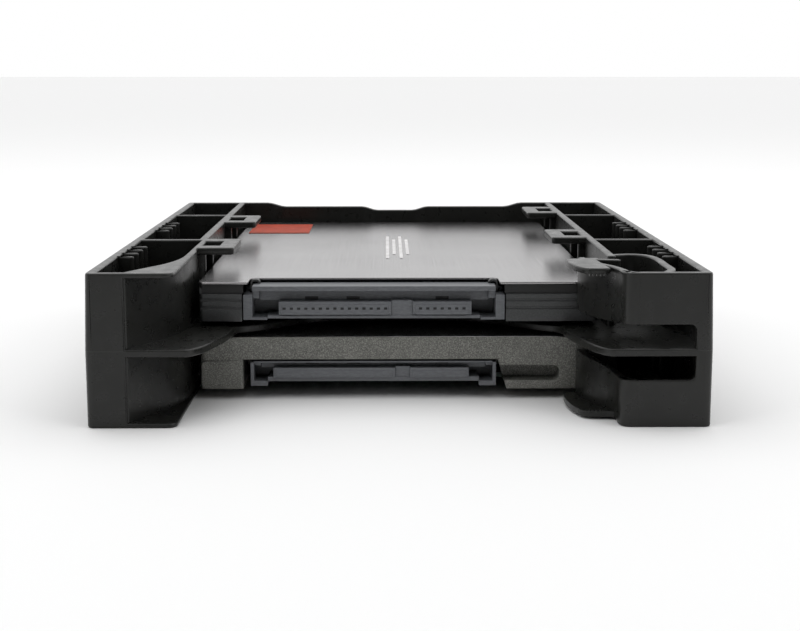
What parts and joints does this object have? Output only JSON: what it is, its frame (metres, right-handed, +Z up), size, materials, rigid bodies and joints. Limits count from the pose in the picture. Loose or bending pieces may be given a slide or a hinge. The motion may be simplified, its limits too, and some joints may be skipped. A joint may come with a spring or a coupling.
{
  "type": "dual drive mounting bracket",
  "caption": "Plastic bay bracket of the 3.5-inch form factor that carries a slim solid state drive above a laptop hard disk, with spring latch arms at its front corner",
  "frame": {"origin": "centre of the bracket's footprint, at the height it stands on", "axes": "+X to the viewer's right across the width, +Y from the socket end to the back, +Z up"},
  "size_m": [0.1016, 0.125, 0.0254],
  "materials": {
    "black_moulding": "black ABS, semi-gloss, finely textured",
    "ssd_lid_metal": "brushed across, clear grey",
    "ssd_tray_metal": "dark grey, satin",
    "socket_plastic": "dark blue-grey glass-filled nylon",
    "circuit_board": "green solder mask",
    "chip_package": "black epoxy",
    "thermal_pad": "soft blue-grey",
    "label_print": "red-orange printed label",
    "screws": "nickel-plated",
    "cast_body": "speckled dark coat over a die casting",
    "hdd_cover_metal": "rolled stainless sheet",
    "machined_metal": "turned and milled",
    "disk_surface": "mirror-polished",
    "coil_wire": "enamelled copper winding",
    "ramp_plastic": "natural acetal",
    "filter_cloth": "white felt"
  },
  "bodies": {
    "bracket": {"bracket_frame": "black_moulding"},
    "upper_latch_arm": {"upper_latch": "black_moulding"},
    "lower_latch_arm": {"lower_latch": "black_moulding"},
    "upper_drive": {"ssd_tray": "ssd_tray_metal", "ssd_lid": "ssd_lid_metal", "ssd_sata_socket": "socket_plastic", "ssd_circuit_board": "circuit_board", "ssd_controller": "chip_package", "ssd_cache_chip": "chip_package", "ssd_thermal_pad": "thermal_pad", "ssd_label": "label_print", "ssd_memory_chip_1": "chip_package", "ssd_memory_chip_2": "chip_package", "ssd_memory_chip_3": "chip_package", "ssd_memory_chip_4": "chip_package", "ssd_screw_1": "screws", "ssd_screw_2": "screws", "ssd_screw_3": "screws", "ssd_screw_4": "screws"},
    "lower_drive": {"hdd_base": "cast_body", "hdd_cover": "hdd_cover_metal", "hdd_sata_socket": "socket_plastic", "hdd_circuit_board": "circuit_board", "hdd_controller_chip": "chip_package", "hdd_motor_chip": "chip_package", "hdd_lower_magnet_yoke": "machined_metal", "hdd_upper_magnet_yoke": "machined_metal", "hdd_pivot_post": "machined_metal", "hdd_load_ramp": "ramp_plastic", "hdd_filter": "filter_cloth", "hdd_cover_screw_1": "screws", "hdd_cover_screw_2": "screws", "hdd_cover_screw_3": "screws", "hdd_cover_screw_4": "screws", "hdd_cover_screw_5": "screws", "hdd_cover_screw_6": "screws", "hdd_board_screw_1": "screws", "hdd_board_screw_2": "screws", "hdd_board_screw_3": "screws"},
    "disk_stack": {"hdd_spindle_hub": "machined_metal", "hdd_platter_spacer": "machined_metal", "hdd_disk_clamp": "machined_metal", "hdd_clamp_screw": "screws", "hdd_platter_1": "disk_surface", "hdd_platter_2": "disk_surface"},
    "head_actuator": {"hdd_head_arms": "machined_metal", "hdd_voice_coil": "coil_wire"}
  },
  "joints": [
    {"name": "upper_latch_bend", "type": "hinge", "parent": "bracket", "child": "upper_latch_arm", "pos_m": [0.0365, -0.0613, 0.0208], "axis": [0, 0, -1], "range_deg": [0, 14], "stiffness_Nm_per_rad": 0.2},
    {"name": "lower_latch_bend", "type": "hinge", "parent": "bracket", "child": "lower_latch_arm", "pos_m": [0.0365, -0.0613, 0.0044], "axis": [0, 0, -1], "range_deg": [0, 14], "stiffness_Nm_per_rad": 0.2},
    {"name": "upper_drive_slide", "type": "slide", "parent": "bracket", "child": "upper_drive", "axis": [0, -1, 0], "range_m": [0, 0.125], "deforming": ["upper_latch"]},
    {"name": "lower_drive_slide", "type": "slide", "parent": "bracket", "child": "lower_drive", "axis": [0, -1, 0], "range_m": [0, 0.125], "deforming": ["lower_latch"]},
    {"name": "disk_spin", "type": "hinge", "parent": "lower_drive", "child": "disk_stack", "pos_m": [0, 0.0237, 0.008], "axis": [0, 0, 1], "continuous": true},
    {"name": "head_swing", "type": "hinge", "parent": "lower_drive", "child": "head_actuator", "pos_m": [0.008, -0.0185, 0.008], "axis": [0, 0, -1], "range_deg": [0, 31]}
  ]
}
